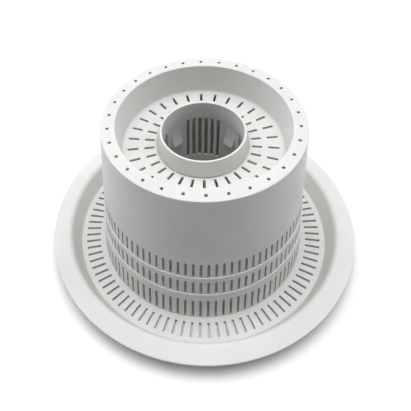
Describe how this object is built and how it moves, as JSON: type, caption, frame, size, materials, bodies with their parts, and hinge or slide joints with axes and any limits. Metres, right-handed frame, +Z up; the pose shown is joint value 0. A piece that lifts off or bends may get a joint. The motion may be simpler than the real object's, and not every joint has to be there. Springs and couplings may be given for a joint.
{
  "type": "dishwasher filter",
  "caption": "Round slotted tank filter with a tapered, stepped wall, a recessed top with a windowed centre tube, and a wide sloped brim round its base.",
  "frame": {"origin": "centre of the foot that it stands on", "axes": "+Z up along the axis of the centre tube, out of its neck; +X and +Y each through the middle of one group of tube windows"},
  "size_m": [0.23, 0.2298, 0.12],
  "materials": {
    "body": "pale grey, matte, as moulded"
  },
  "bodies": {
    "root": {"filter_body": "body"}
  },
  "joints": []
}
